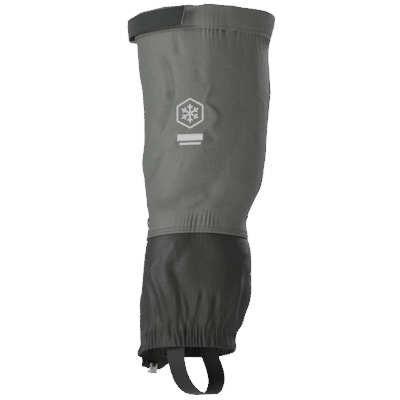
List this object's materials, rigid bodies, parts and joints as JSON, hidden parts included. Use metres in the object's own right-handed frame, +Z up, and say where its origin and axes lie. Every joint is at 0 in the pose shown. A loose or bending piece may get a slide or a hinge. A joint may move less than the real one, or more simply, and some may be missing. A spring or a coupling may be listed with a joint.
{
  "type": "gaiter",
  "caption": "Knee-high snow gaiter of coated cloth: strapped cuff with a cam buckle, front flap with a press stud, gathered hem, lace hook and a webbing strap under the boot.",
  "frame": {"origin": "on the leg's axis, level with the lower edge of the hem", "axes": "+Z up the leg, -X towards the front flap, -Y towards the outer side of the leg"},
  "size_m": [0.1781, 0.1392, 0.4658],
  "materials": {
    "upper_cloth": "grey coated plain weave",
    "lower_cloth": "black coated plain weave",
    "elastic": "black braided elastic",
    "tape": "black hook and loop and binding tape",
    "webbing": "dark grey flat webbing",
    "buckle_plastic": "moulded satin black",
    "snap_metal": "dark lacquered",
    "steel": "plated, bright"
  },
  "bodies": {
    "gaiter": {"upper_panel_outer": "upper_cloth", "upper_panel_inner": "upper_cloth", "lower_panel_outer": "lower_cloth", "lower_panel_inner": "lower_cloth", "cuff_outer": "upper_cloth", "cuff_inner": "upper_cloth", "cuff_elastic": "elastic", "ankle_elastic_outer": "elastic", "ankle_elastic_inner": "elastic", "hem_casing_outer": "lower_cloth", "hem_casing_inner": "lower_cloth", "hem_elastic": "elastic", "back_seam_tape_upper": "tape", "back_seam_tape_lower": "tape", "loop_tape_upper": "tape", "loop_tape_lower": "tape", "snap_stud": "snap_metal", "snap_post": "snap_metal", "lace_tab": "lower_cloth", "hook_keeper": "webbing", "instep_anchor_outer": "webbing", "instep_anchor_inner": "webbing", "cuff_strap": "webbing", "buckle_tab": "webbing", "buckle_frame": "buckle_plastic", "cam_pin": "steel"},
    "front_flap": {"front_flap_upper": "upper_cloth", "front_flap_lower": "lower_cloth", "hook_tape_upper": "tape", "hook_tape_lower": "tape", "snap_cap": "snap_metal", "snap_socket": "snap_metal"},
    "cam_lever": {"cam_lever": "buckle_plastic"},
    "strap_tail": {"strap_tail": "webbing"},
    "instep_strap": {"instep_strap": "webbing"},
    "lace_hook": {"lace_hook": "steel"}
  },
  "joints": [
    {"name": "flap_open", "type": "hinge", "parent": "gaiter", "child": "front_flap", "pos_m": [-0.057, -0.041, 0.18], "axis": [0, 0, 1], "range_deg": [0, 100]},
    {"name": "cam_release", "type": "hinge", "parent": "gaiter", "child": "cam_lever", "pos_m": [-0.07183, 0.05097, 0.39282], "axis": [0.0924, 0, -0.9957], "range_deg": [0, 75]},
    {"name": "tail_pull", "type": "hinge", "parent": "gaiter", "child": "strap_tail", "pos_m": [-0.00398, 0.005, 0.39911], "axis": [-0.0924, 0, 0.9957], "range_deg": [0, 14]},
    {"name": "instep_swing", "type": "hinge", "parent": "gaiter", "child": "instep_strap", "pos_m": [-0.00428, -0.00084, -0.0116], "axis": [0.3785, 0.9256, 0], "range_deg": [-40, 40]},
    {"name": "hook_swing", "type": "hinge", "parent": "gaiter", "child": "lace_hook", "pos_m": [-0.05107, 0.02609, -0.012], "axis": [-0.6827, -0.7307, 0], "range_deg": [-15, 15]}
  ]
}
